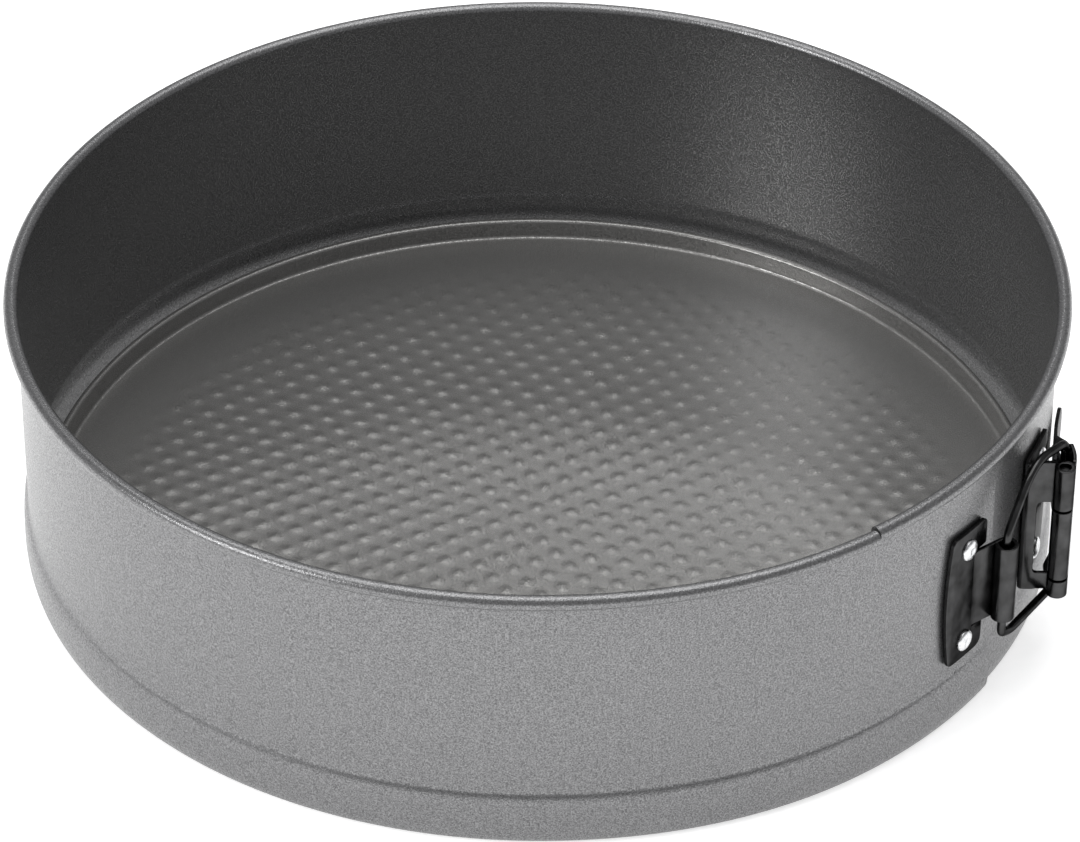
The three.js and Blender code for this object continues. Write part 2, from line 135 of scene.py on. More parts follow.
# Brackets
LATCH_Z = 33.8                # height of the latch's middle
METAL = 1.0                   # sheet thickness of both brackets
EDGE = 0.14                   # rounding of cut sheet edges
PLAY = 0.3                    # gap between pieces that touch
PLATE_HALF = 16.8             # half a plate's height
PLATE_BACK = 5.2              # from the rivets to the back corners
PLATE_BOW = 1.6               # how far the back edge bows out past them
PLATE_FRONT = 6.8             # from the rivets to the catch plate's front edge
PLATE_CORNER = 1.2
CATCH_RIVET_AZ = -8.6 * DEG
CATCH_ROOT_AZ = -7.2 * DEG    # the tongue leaves the catch plate here
CATCH_KNUCKLE_R = 2.6
CATCH_KNUCKLE_HALF = 9.7
TONGUE_GAP = 0.5              # opening in the plate above and below the tongue
TONGUE_BEND = 1.2
HINGE_RIVET_AZ = 9.8 * DEG
PIVOT_ROOT_AZ = 5.2 * DEG     # the fin leaves the hinge plate here
PIVOT_KNUCKLE_R = 2.3
FIN_BEND = 1.3
FIN_SHARE = 0.3               # the window starts this far along the fin
ROLL_TURN = 318 * DEG
STACK_BOTTOM = 17.2           # the three knuckles, from the bottom up
KNUCKLE_LOW = 21.8
KNUCKLE_HIGH = 40.4
STACK_TOP = 51.2

# Rivets and pin
RIVET_HALF = 12.1             # a rivet's distance from the latch's middle
HEAD_R = 2.45
HEAD_RISE = 1.1
HEAD_BRIM = 0.25              # share of the rise that the head's edge stands up
MARK_R = 0.8                  # the struck mark in the crown
PIN_R = 1.15
PIN_CHAMFER = 0.4

# Lever
PIVOT = joint_place("lever_swing")
CATCH = joint_place("bail_swing")
PIVOT_LINE = math.atan2((PIVOT - CATCH).y, (PIVOT - CATCH).x)
BAIL_ARM = 6.4                # from the pivot to the bail's far leg
OVER_CENTRE = 34 * DEG
FAR_LEG = PIVOT + polar(BAIL_ARM, PIVOT_LINE + OVER_CENTRE)
LEVER_SHEET = 0.8
LEVER_ROLL = 300 * DEG
EAR_EDGE = 0.1
EAR_START = 3.4
EAR_SLACK = 0.75              # room round the wire in the ear
EARS_PAST = polar(119.8, 9.7 * DEG)
BLADE_ROOT = polar(118.9, 10.7 * DEG)
BLADE_BEND = polar(118.3, 14 * DEG)
BLADE_MIDDLE = polar(116.2, 19 * DEG)
BLADE_TIP = polar(116.7, 25.5 * DEG)
ROOT_HALF = 8.6               # half the blade's height where it starts
TIP_HALF = 6.8

# Bail
WIRE_R = 0.95
NECK_ABOVE = 2.4              # straight wire above the catch knuckle
NECK_BELOW = 4.6
BAIL_PEAK_Z = 57.6
FAR_LEG_TOP = 53.0
FAR_LEG_BOTTOM = 15.1
BAIL_FOOT_Z = 17.4

# Studio. Its lengths are in metres.
CAMERA_AZ = -59.8 * DEG
CAMERA_EL = 36.75 * DEG
CAMERA_DISTANCE = 1.18
CAMERA_ROLL = -0.14 * DEG
CAMERA_AIM = Vector((0.0005, 0.0003, 0.0264))
CAMERA_LENS = 172.5           # millimetres, as is the sensor
CAMERA_SENSOR = 36
PAN_MIDDLE = Vector((0, 0, 0.03))
FLOOR_SPOT = Vector((0.025, 0.038, 0))
PAPER_HALF = 6.0
PAPER_GLOW = 0.7              # the paper lies on a lit table
ROOM_GREY = (0.34, 0.34, 0.345, 1)


# ---------- lines in a plane ----------

def arc(centre, radius, start, end, count):
    """Points on an arc, both ends included."""
    steps = (start + (end - start) * i / count for i in range(count + 1))
    return [centre + polar(radius, angle) for angle in steps]


def bezier(controls, count):
    """Points on a Bezier curve of any degree, both ends included."""
    points = []
    for i in range(count + 1):
        t = i / count
        row = [Vector(c) for c in controls]
        while len(row) > 1:
            row = [a.lerp(b, t) for a, b in zip(row, row[1:])]
        points.append(row[0])
    return points


def spline(points, count):
    """Points on a smooth curve through the given ones, count to each stretch."""
    ends = [points[0], *points, points[-1]]
    made = []
    for a, b, c, d in zip(ends, ends[1:], ends[2:], ends[3:]):
        lead_in = (c - a) / 2
        lead_out = (d - b) / 2
        for i in range(count):
            t = i / count
            bend = (b - c) * (2 * t ** 3 - 3 * t ** 2)
            swing = lead_in * (t ** 3 - 2 * t ** 2 + t) + lead_out * (t ** 3 - t ** 2)
            made.append(b + bend + swing)
    made.append(points[-1])
    return made


def smoothstep(value, low, high):
    """Goes smoothly from 0 to 1 as the value goes from low to high."""
    t = min(max((value - low) / (high - low), 0.0), 1.0)
    return t * t * (3 - 2 * t)


def sheet_sides(line, thickness):
    """The two faces of a sheet of even thickness that follows a middle line."""
    left = []
    right = []
    last = len(line) - 1
    for i, here in enumerate(line):
        before = (here - line[max(i - 1, 0)]).normalized()
        after = (line[min(i + 1, last)] - here).normalized()
        along = (before + after).normalized()
        corner = along.dot(after) if 0 < i < last else 1
        across = Vector((-along.y, along.x)) * (thickness / 2 / corner)
        left.append(here + across)
        right.append(here - across)
    return left, right


class PlanPath:
    """A line in plan with its running length, for laying out bent sheet."""

    def __init__(self, points):
        self.points = points
        self.marks = [0.0]
        for a, b in zip(points, points[1:]):
            self.marks.append(self.marks[-1] + (b - a).length)
        steps = [(b - a).normalized() for a, b in zip(points, points[1:])]
        inner = [(a + b).normalized() for a, b in zip(steps, steps[1:])]
        self.headings = [steps[0], *inner, steps[-1]]

    def place(self, length, height, depth):
        """The point at a running length, so high and so far to the left of the line."""
        i = min(max(bisect.bisect(self.marks, length) - 1, 0), len(self.points) - 2)
        t = (length - self.marks[i]) / (self.marks[i + 1] - self.marks[i])
        spot = self.points[i] + (self.points[i + 1] - self.points[i]) * t
        share = min(max(t, 0), 1)
        heading = self.headings[i].lerp(self.headings[i + 1], share).normalized()
        spot = spot + Vector((-heading.y, heading.x)) * depth
        return Vector((spot.x, spot.y, height))

    def mark_near(self, target):
        """The running length of the path's point nearest to a target."""
        near = min(range(len(self.points)), key=lambda i: (self.points[i] - target).length)
        return self.marks[near]


# ---------- meshes ----------

def finish_mesh(name, bm, material, sharp=38 * DEG):
    """Turns a mesh in millimetres into a smooth-shaded object in metres."""
    bmesh.ops.remove_doubles(bm, verts=bm.verts[:], dist=1e-4)
    bmesh.ops.recalc_face_normals(bm, faces=bm.faces[:])
    mesh = bpy.data.meshes.new(name)
    bm.to_mesh(mesh)
    bm.free()
    mesh.transform(Matrix.Scale(MM, 4))
    mesh.polygons.foreach_set("use_smooth", [True] * len(mesh.polygons))
    mesh.set_sharp_from_angle(angle=sharp)
    mesh.materials.append(material)
    obj = bpy.data.objects.new(name, mesh)
    bpy.context.scene.collection.objects.link(obj)
    return obj


def thick_grid(bm, left, right, keep=None, closed=False):
    """A solid between two grids of points. keep says which cells of the grid are there."""
    rows = len(left) - 1
    columns = len(left[0]) - (0 if closed else 1)
    count = len(left[0])
    front = [[bm.verts.new(p) for p in row] for row in left]
    back = [[bm.verts.new(p) for p in row] for row in right]

    def there(i, j):
        if closed:
            j %= columns
        inside = 0 <= i < rows and 0 <= j < columns
        return inside and (keep is None or keep(i, j))

    def side(a, b):
        bm.faces.new((front[a[0]][a[1]], front[b[0]][b[1]], back[b[0]][b[1]], back[a[0]][a[1]]))

    for i in range(rows):
        for j in range(columns):
            if not there(i, j):
                continue
            k = (j + 1) % count
            bm.faces.new((front[i][j], front[i][k], front[i + 1][k], front[i + 1][j]))
            bm.faces.new((back[i][j], back[i + 1][j], back[i + 1][k], back[i][k]))
            if not there(i - 1, j):
                side((i, j), (i, k))
            if not there(i + 1, j):
                side((i + 1, j), (i + 1, k))
            if not there(i, j - 1):
                side((i, j), (i + 1, j))
            if not there(i, j + 1):
                side((i, k), (i + 1, k))
    loose = [v for v in bm.verts if not v.link_faces]
    bmesh.ops.delete(bm, geom=loose, context="VERTS")


def sheet_blank(outline, thickness, cuts, edge):
    """A flat sheet with rounded edges, cut across at the given lengths so that it can bend."""
    bm = bmesh.new()
    bm.faces.new([bm.verts.new((p[0], p[1], 0)) for p in outline])
    for cut in cuts:
        everything = bm.verts[:] + bm.edges[:] + bm.faces[:]
        bmesh.ops.bisect_plane(bm, geom=everything, plane_co=(cut, 0, 0), plane_no=(1, 0, 0))
    raised = bmesh.ops.extrude_face_region(bm, geom=bm.faces[:])["geom"]
    top = [v for v in raised if isinstance(v, bmesh.types.BMVert)]
    bmesh.ops.translate(bm, verts=top, vec=(0, 0, thickness))
    bmesh.ops.recalc_face_normals(bm, faces=bm.faces[:])
    rim = []
    for e in bm.edges:
        square = len(e.link_faces) == 2 and e.calc_face_angle() > 80 * DEG
        level = abs(e.verts[0].co.z - e.verts[1].co.z) < TINY
        if square and level:
            rim.append(e)
    bmesh.ops.bevel(bm, geom=rim, offset=edge, segments=3, profile=0.5, affect="EDGES")
    return bm


def add_mesh(target, extra):
    """Moves everything in one mesh into another."""
    holder = bpy.data.meshes.new("holder")
    extra.to_mesh(holder)
    extra.free()
    target.from_mesh(holder)
    bpy.data.meshes.remove(holder)


def bent_sheet(target, path, outline, thickness):
    """Bends a flat outline of lengths and heights round a path and adds it to a mesh."""
    low = min(p[0] for p in outline)
    high = max(p[0] for p in outline)
    cuts = [m for m in path.marks if low + 0.01 < m < high - 0.01]
    blank = sheet_blank(outline, thickness, cuts, EDGE)
    for v in blank.verts:
        v.co = path.place(v.co.x, v.co.y, v.co.z - thickness / 2)
    add_mesh(target, blank)


def flat_plate(target, outline, low, high):
    """A level plate from its outline in plan."""
    blank = sheet_blank(outline, high - low, [], EAR_EDGE)
    bmesh.ops.translate(blank, verts=blank.verts[:], vec=(0, 0, low))
    add_mesh(target, blank)


def lathe(target, profile, place, sides=48):
    """Turns a profile of radii and heights round an axis. place maps each point to the frame."""
    rings = []
    for radius, height in profile:
        turn = (2 * math.pi * k / sides for k in range(sides))
        spots = (place(radius * math.cos(a), radius * math.sin(a), height) for a in turn)
        rings.append([target.verts.new(p) for p in spots])
    for a, b in zip(rings, rings[1:]):
        for k in range(sides):
            m = (k + 1) % sides
            target.faces.new((a[k], a[m], b[m], b[k]))
    target.faces.new(rings[0])
    target.faces.new(rings[-1])


# ---------- materials ----------

def shader(name):
    """A new material with its main shader, node tree and a maker of linked nodes."""
    material = bpy.data.materials.new(name)
    material.use_nodes = True
    tree = material.node_tree
    principled = tree.nodes["Principled BSDF"]

    def add(kind, inputs=None, **settings):
        node = tree.nodes.new(kind)
        for key, value in settings.items():
            setattr(node, key, value)
        for key, value in (inputs or {}).items():
            if isinstance(value, bpy.types.NodeSocket):
                tree.links.new(value, node.inputs[key])
            else:
                node.inputs[key].default_value = value
        return node

    return material, principled, add


def feed(principled, name, socket):
    """Links a socket to one of the main shader's inputs."""
    principled.id_data.links.new(socket, principled.inputs[name])


def noise_at(add, scale, detail):
    """Noise in the object's own space. scale is in features per metre."""
    coords = add("ShaderNodeTexCoord").outputs["Object"]
    inputs = {"Vector": coords, "Scale": scale, "Detail": detail}
    return add("ShaderNodeTexNoise", inputs).outputs["Fac"]


def spread(add, value, low, high):
    """Maps the middle of a noise's range to the range from low to high."""
    inputs = {"Value": value, "From Min": 0.3, "From Max": 0.7, "To Min": low, "To Max": high}
    return add("ShaderNodeMapRange", inputs).outputs["Result"]


def tint(add, value, dark, light):
    """A colour ramp between two greys over the middle of a noise's range."""
    ramp = add("ShaderNodeValToRGB", {"Fac": value})
    ramp.color_ramp.elements[0].position = 0.3
    ramp.color_ramp.elements[1].position = 0.7
    ramp.color_ramp.elements[0].color = (*dark, 1)
    ramp.color_ramp.elements[1].color = (*light, 1)
    return ramp.outputs["Color"]


def roughen(add, principled, value, strength, distance):
    """Lets a noise stand out of the surface by a distance in metres."""
    bump = add("ShaderNodeBump", {"Height": value, "Strength": strength, "Distance": distance})
    feed(principled, "Normal", bump.outputs["Normal"])


def coated_steel(name, dark, light, roughness, metallic):
    """Grey non-stick coating: a metallic lacquer with fine bright flakes in it."""
    material, principled, add = shader(name)
    principled.inputs["Metallic"].default_value = metallic
    flakes = noise_at(add, 2900, detail=2)
    feed(principled, "Base Color", tint(add, flakes, dark, light))
    feed(principled, "Roughness", spread(add, flakes, roughness + 0.08, roughness - 0.08))
    roughen(add, principled, flakes, 0.5, 0.00012)
    return material


def black_steel():
    """Glossy blackened steel with a thin, uneven oil film."""
    material, principled, add = shader("black_steel")
    principled.inputs["Metallic"].default_value = 1.0
    principled.inputs["Specular Tint"].default_value = (0.35, 0.35, 0.35, 1)
    film = noise_at(add, 300, detail=4)
    grain = noise_at(add, 4000, detail=2)
    feed(principled, "Base Color", tint(add, film, (0.042, 0.042, 0.042), (0.078, 0.078, 0.079)))
    feed(principled, "Roughness", spread(add, film, 0.2, 0.26))
    roughen(add, principled, grain, 0.15, 0.00005)
    return material


def zinc():
    """Bright plated steel, lightly dulled."""
    material, principled, add = shader("zinc_rivet")
    principled.inputs["Metallic"].default_value = 1.0
    patches = noise_at(add, 900, detail=4)
    feed(principled, "Base Color", tint(add, patches, (0.55, 0.56, 0.57), (0.92, 0.92, 0.93)))
    feed(principled, "Roughness", spread(add, patches, 0.22, 0.4))
    roughen(add, principled, patches, 0.3, 0.00005)
    return material


def floor_paper():
    """Pale matt paper, lit a little from below."""
    material, principled, add = shader("floor_paper")
    principled.inputs["Roughness"].default_value = 0.9
    principled.inputs["Emission Strength"].default_value = PAPER_GLOW
    fibre = noise_at(add, 400, detail=4)
    paper = tint(add, fibre, (0.86, 0.86, 0.86), (0.9, 0.9, 0.9))
    feed(principled, "Base Color", paper)
    feed(principled, "Emission Color", paper)
    return material


RING_COAT = coated_steel("ring_coat", (0.113, 0.113, 0.115), (0.29, 0.29, 0.294), 0.3, 0.8)
BASE_COAT = coated_steel("base_coat", (0.145, 0.143, 0.139), (0.37, 0.366, 0.357), 0.25, 0.6)
BLACK = black_steel()
ZINC = zinc()


# ---------- ring ----------

def bead_top(crisp):
    """The bead's upper half and the hollow above it, up to the wall.
    It is a shallow ramp where crisp is 0 and a tight step where it is 1."""
    belly = (BEAD_OUT, BEAD_BELLY)
    lead = (BEAD_SHOULDER - BEAD_BELLY) / 4
    ramp = [
        belly,
        (BEAD_OUT, BEAD_BELLY + 2 * lead),
        (SHOULDER_OUT + SHOULDER_LEAN * lead, BEAD_SHOULDER - lead),
        (SHOULDER_OUT, BEAD_SHOULDER),
    ]
    ramp_end = [
        (SHOULDER_OUT, BEAD_SHOULDER),
        (0, BEAD_SHOULDER + SHOULDER_OUT / SHOULDER_LEAN),
        (0, BEAD_TOP),
    ]
    step_top = BEAD_SHOULDER + STEP_RISE
    step = [
        belly,
        (BEAD_OUT, BEAD_BELLY + 2.6 * lead),
        (2 * SHOULDER_OUT, step_top - STEP_RUN),
        (SHOULDER_OUT, step_top),
    ]
    step_end = [(SHOULDER_OUT, step_top), (0, step_top + STEP_RUN), (0, BEAD_TOP - STEP_RUN)]

    def between(shallow, tight):
        return [Vector(a).lerp(Vector(b), crisp) for a, b in zip(shallow, tight)]

    shoulder = bezier(between(ramp, step), 20)
    hollow = bezier(between(ramp_end, step_end), 10)
    return [*shoulder[1:], *hollow[1:]]


def ring_line(crisp):
    """Middle line of the ring's section, from the bottom edge to the end of the rolled rim."""
    foot = FOOT_Z + SHEET / 2
    lip = bezier([(-LIP_IN, foot), (BEAD_OUT - SHEET / 2, foot),
                  (BEAD_OUT, BEAD_BELLY / 2), (BEAD_OUT, BEAD_BELLY)], 14)
    wall = Vector((0, NOTCH_FLOOR))
    centre = Vector((CURL_R, PAN_HEIGHT - CURL_R - SHEET / 2))
    curl = arc(centre, CURL_R, HALF_TURN, HALF_TURN - CURL_TURN, 36)
    return [*lip, *bead_top(crisp), wall, *curl]


def outer_section(azimuth):
    """The outer layer moves outwards on its way to the lap."""
    outwards = LAP_STEP * smoothstep(azimuth, LAP_RISE_START, LAP_RISE_END)
    return [p + Vector((outwards, 0)) for p in ring_line(CRISP)]


def inner_section(azimuth):
    """The inner layer's shoulder is shallow under the outer layer and tightens past it."""
    return ring_line(CRISP * smoothstep(azimuth, LAP_END, LAP_END + CRISP_RUN))


def back_section(azimuth):
    """The ring's section is the same all along its back."""
    return ring_line(CRISP)


def ring_strip(name, azimuths, section, keep=None):
    """Bent sheet through the ring's sections at the given azimuths."""
    left = []
    right = []
    for azimuth in azimuths:
        for grid, side in zip((left, right), sheet_sides(section(azimuth), SHEET)):
            spots = [polar(WALL_R + p.x, azimuth) for p in side]
            grid.append([(q.x, q.y, p.y) for q, p in zip(spots, side)])
    bm = bmesh.new()
    thick_grid(bm, list(zip(*left)), list(zip(*right)), keep)
    return finish_mesh(name, bm, RING_COAT)


def stations(*stops, step=1.0 * DEG):
    """Azimuths from the first stop to the last, close together, with every stop among them."""
    made = [stops[0]]
    for a, b in zip(stops, stops[1:]):
        count = math.ceil((b - a) / step)
        made += [a + (b - a) * (i + 1) / count for i in range(count)]
    return made


def ring_pieces():
    """The two lapped ends of the ring, and its back, which is fixed in place."""
    heights = [p.y for p in ring_line(CRISP)]
    outer_rim_end = RIM_NOTCH - NOTCH_HALF
    outer = stations(-QUARTER, outer_rim_end, LAP_END)

    def outer_there(i, j):
        """Past the notch the outer layer has no rim."""
        return heights[i] < NOTCH_FLOOR - TINY or outer[j + 1] <= outer_rim_end + TINY

    strip = ring_strip("ring_outer_strip", outer, outer_section, outer_there)
    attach(strip, "ring_left")
    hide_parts("ring_outer_end")

    inner = stations(RIM_NOTCH + NOTCH_HALF, LAP_END, QUARTER)

    def inner_there(i, j):
        """Under the outer layer the inner one has no lip."""
        return heights[i] > LAP_LIP_CUT or inner[j] >= LAP_END - TINY

    strip = ring_strip("ring_inner_strip", inner, inner_section, inner_there)
    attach(strip, "ring_right")
    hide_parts("ring_inner_end")

    back = ring_strip("ring_back", stations(QUARTER, 3 * QUARTER), back_section)
    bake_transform(back)


# ---------- base ----------

def bump_height(x, y):
    """Height of the pressed pattern: one soft bump to each square of the lattice."""
    u = x * math.cos(BUMP_AZ) + y * math.sin(BUMP_AZ)
    v = -x * math.sin(BUMP_AZ) + y * math.cos(BUMP_AZ)
    du = (u / BUMP_PITCH - round(u / BUMP_PITCH)) * BUMP_PITCH
    dv = (v / BUMP_PITCH - round(v / BUMP_PITCH)) * BUMP_PITCH
    fade = 1 - smoothstep(math.hypot(x, y), *BUMP_FADE)
    return BUMP_RISE * fade * math.exp(-(du * du + dv * dv) / BUMP_R ** 2)


def base_disc():
    """The pressed disc: a patterned floor, a raised crest round it and a short skirt."""
    foot_start = FLOOR_R - 2 * SHEET
    count = math.ceil(foot_start / FLOOR_STEP)
    flat = [Vector((foot_start * i / count, FLOOR_Z)) for i in range(count)]
    foot = bezier([(foot_start, FLOOR_Z), (FLOOR_R, FLOOR_Z),
                   (FLOOR_R + SHEET / 4, FLOOR_Z + 2 * SHEET)], 8)
    crest = arc(Vector((CREST_R, CREST_Z)), CREST_ROUND, HALF_TURN - CREST_LEAN, 0, 12)
    skirt = Vector((CREST_R + CREST_ROUND, BASE_SKIRT_Z))
    left, right = sheet_sides([*flat, *foot, *crest, skirt], SHEET)
    turns = [2 * math.pi * k / FLOOR_SIDES for k in range(FLOOR_SIDES)]

    def turned(side):
        grid = []
        for i, spot in enumerate(side):
            row = []
            for azimuth in turns:
                plan = polar(spot.x, azimuth)
                rise = bump_height(plan.x, plan.y) if i < count else 0
                row.append((plan.x, plan.y, spot.y + rise))
            grid.append(row)
        return grid

    bm = bmesh.new()
    thick_grid(bm, turned(left), turned(right), closed=True)
    obj = finish_mesh("base_disc_pressed", bm, BASE_COAT, sharp=60 * DEG)
    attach(obj, "base")
    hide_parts("base_disc")


# ---------- brackets ----------

def roll_touch(root, centre, radius):
    """Where a strip from the root meets the side of its own roll nearer the ring."""
    reach = centre - root
    side = Vector((-reach.y, reach.x)).normalized()
    return centre + side * (radius - METAL / 2)


def rolled_path(before, root, centre, radius, bend):
    """A path along a plate that bends at the root, runs straight and rolls round a pin."""
    touch = roll_touch(root, centre, radius)
    lead = [p for p in before if (p - root).length > bend * 1.2]
    start = root + (lead[-1] - root).normalized() * bend
    ahead = root + (touch - root).normalized() * bend
    corner = bezier([start, root, ahead], 8)
    away = touch - centre
    angle = math.atan2(away.y, away.x)
    roll = arc(centre, radius - METAL / 2, angle, angle - ROLL_TURN, 32)
    return PlanPath([*lead, *corner, *roll])


def bowed_edge(rivets_at):
    """A plate's back edge, bowed out between its rounded corners, from the top down."""
    back = rivets_at - PLATE_BACK
    bow = bezier([(back, PLATE_HALF), (back - 2 * PLATE_BOW, 0), (back, -PLATE_HALF)], 16)
    return [(*bow[0], PLATE_CORNER), *bow[1:-1], (*bow[-1], PLATE_CORNER)]


def rounded(corners):
    """An outline from its corners. A corner's third number, if it has one, rounds it off."""
    made = []
    count = len(corners)
    for i, corner in enumerate(corners):
        spot = Vector(corner[:2])
        if len(corner) == 2:
            made.append(spot)
            continue
        before = Vector(corners[i - 1][:2])
        after = Vector(corners[(i + 1) % count][:2])
        start = spot + (before - spot).normalized() * corner[2]
        end = spot + (after - spot).normalized() * corner[2]
        made += bezier([start, spot, end], 5)
    return made


def at_latch(outline):
    """Lifts an outline whose heights are counted from the latch's middle."""
    return [(p[0], p[1] + LATCH_Z) for p in outline]


def catch_plate(bm, middle):
    """The catch bracket's plate, with the opening that its tongue is bent out of."""
    start = CATCH_RIVET_AZ - (PLATE_BACK + 2 * PLATE_BOW) / middle
    end = CATCH_RIVET_AZ + PLATE_FRONT / middle
    path = PlanPath(arc(Vector((0, 0)), middle, start, end + 1 * DEG, 30))
    rivets_at = (CATCH_RIVET_AZ - start) * middle
    root = (CATCH_ROOT_AZ - start) * middle
    front = rivets_at + PLATE_FRONT
    gap = CATCH_KNUCKLE_HALF + TONGUE_GAP
    opening = [
        (front, -PLATE_HALF, 2.4),
        (front, -gap, 0.5),
        (root, -gap),
        (root, gap),
        (front, gap, 0.5),
        (front, PLATE_HALF, 1.6),
    ]
    bent_sheet(bm, path, at_latch(rounded([*bowed_edge(rivets_at), *opening])), METAL)


def catch_tongue(bm, middle):
    """The tongue that rolls round the bail's near leg."""
    before = arc(Vector((0, 0)), middle, CATCH_ROOT_AZ - 1.6 * DEG, CATCH_ROOT_AZ - 0.3 * DEG, 4)
    root = polar(middle, CATCH_ROOT_AZ)
    path = rolled_path(before, root, CATCH, CATCH_KNUCKLE_R, TONGUE_BEND)
    half = CATCH_KNUCKLE_HALF
    last = path.marks[-1]
    outline = [(TONGUE_BEND, -half), (last, -half, 0.8), (last, half, 0.8), (TONGUE_BEND, half)]
    bent_sheet(bm, path, at_latch(rounded(outline)), METAL * 0.96)


def catch_bracket():
    """The bracket on the ring's outer end."""
    middle = OUTER_FACE + LAP_STEP + PLAY + METAL / 2
    bm = bmesh.new()
    catch_plate(bm, middle)
    catch_tongue(bm, middle)
    obj = finish_mesh("catch_bracket_formed", bm, BLACK)
    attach(obj, "ring_left")
    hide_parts("catch_bracket")


def hinge_bracket():
    """The bracket on the inner end: plate, fin with a window, and the two end knuckles."""
    middle = OUTER_FACE + PLAY + METAL / 2
    start = HINGE_RIVET_AZ + (PLATE_BACK + 2 * PLATE_BOW) / middle
    before = arc(Vector((0, 0)), middle, start, PIVOT_ROOT_AZ, 30)
    root = polar(middle, PIVOT_ROOT_AZ)
    path = rolled_path(before, root, PIVOT, PIVOT_KNUCKLE_R, FIN_BEND)
    rivets_at = (start - HINGE_RIVET_AZ) * middle
    fin = (roll_touch(root, PIVOT, PIVOT_KNUCKLE_R) - root).length
    fin_end = path.mark_near(root) + fin * FIN_SHARE
    last = path.marks[-1]
    low = STACK_BOTTOM - LATCH_Z
    high = STACK_TOP - LATCH_Z
    window_low = KNUCKLE_LOW - PLAY - LATCH_Z
    window_high = KNUCKLE_HIGH + PLAY - LATCH_Z
    strips = [
        (fin_end, -PLATE_HALF),
        (fin_end + 1, low),
        (last, low),
        (last, window_low),
        (fin_end, window_low, 1.0),
        (fin_end, window_high, 1.6),
        (last, window_high),
        (last, high),
        (fin_end + 1, high),
        (fin_end, PLATE_HALF),
    ]
    bm = bmesh.new()
    bent_sheet(bm, path, at_latch(rounded([*bowed_edge(rivets_at), *strips])), METAL)
    obj = finish_mesh("hinge_bracket_formed", bm, BLACK)
    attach(obj, "ring_right")
    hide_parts("hinge_bracket")


# ---------- rivets and pin ----------

def head_profile():
    """A domed head from its foot to the small struck mark in its crown."""
    dome = [(HEAD_R, 0.0)]
    for i in range(12):
        angle = QUARTER * i / 11
        radius = HEAD_R * math.cos(angle)
        if radius > MARK_R:
            dome.append((radius, HEAD_RISE * (HEAD_BRIM + (1 - HEAD_BRIM) * math.sin(angle))))
    mark = [(MARK_R - 0.1, 0.93), (MARK_R - 0.3, 0.82), (MARK_R - 0.6, 0.8)]
    return dome + [(radius, HEAD_RISE * share) for radius, share in mark]


def rivet(name, body, node, azimuth, height, face):
    """One rivet's head on a plate's outer face."""
    outwards = Vector((math.cos(azimuth), math.sin(azimuth), 0))
    along = Vector((-math.sin(azimuth), math.cos(azimuth), 0))

    def place(x, y, rise):
        return outwards * (face + rise) + along * x + Vector((0, 0, height + y))

    bm = bmesh.new()
    lathe(bm, head_profile(), place)
    obj = finish_mesh(name, bm, ZINC)
    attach(obj, body)
    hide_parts(node)


def rivets():
    """Two rivets in each bracket."""
    catch_face = OUTER_FACE + LAP_STEP + PLAY + METAL
    hinge_face = OUTER_FACE + PLAY + METAL
    for side, body, azimuth, face in (
        ("catch", "ring_left", CATCH_RIVET_AZ, catch_face),
        ("hinge", "ring_right", HINGE_RIVET_AZ, hinge_face),
    ):
        for level, height in (("upper", LATCH_Z + RIVET_HALF), ("lower", LATCH_Z - RIVET_HALF)):
            node = f"{side}_rivet_{level}"
            rivet(node + "_domed", body, node, azimuth, height, face)


def hinge_pin():
    """The pin inside the three knuckles, its top end a little peened."""
    low = STACK_BOTTOM + PLAY
    high = STACK_TOP - 2 * PLAY
    profile = [
        (0.7, low),
        (PIN_R, low + PIN_CHAMFER),
        (PIN_R, high - PIN_CHAMFER),
        (PIN_R * 0.85, high - PIN_CHAMFER / 4),
        (0.5, high),
    ]

    def place(x, y, z):
        return Vector((PIVOT.x + x, PIVOT.y + y, z))

    bm = bmesh.new()
    lathe(bm, profile, place, sides=32)
    obj = finish_mesh("hinge_pin_round", bm, BLACK)
    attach(obj, "ring_right")
    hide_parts("hinge_pin")


# ---------- lever and bail ----------

def lever_path():
    """The lever's sheet in plan: its knuckle, out round the bail's leg, and back to the ring."""
    half = LEVER_SHEET / 2
    radius = PIVOT_KNUCKLE_R - half
    roll = arc(PIVOT, radius, -LEVER_ROLL, 0, 30)
    bulge = Vector((FAR_LEG.x + WIRE_R + 2 * PLAY + half, FAR_LEG.y + half))
    blade = spline([roll[-1], bulge, BLADE_BEND, BLADE_MIDDLE, BLADE_TIP], 10)
    return PlanPath([*roll, *blade[1:]])


def lever_ear(bm, low):
    """A hooked flange that holds the bail's far leg, open towards the pivot."""
    line = (FAR_LEG - PIVOT).normalized()
    across = Vector((line.y, -line.x))
    slot = WIRE_R + EAR_SLACK
    hook = arc(Vector((BAIL_ARM, 0)), slot, QUARTER, -QUARTER, 10)
    outline = [
        (EAR_START, 2.2),
        (EAR_START, slot),
        *hook,
        (EAR_START, -slot),
        (EAR_START, -2.6),
        (8.0, -2.9),
        (12.2, -1.6),
        (10.4, 0.4),
        (7.2, 2.2),
    ]
    spots = [PIVOT + line * x + across * y for x, y in outline]
    flat_plate(bm, spots, low, low + METAL)


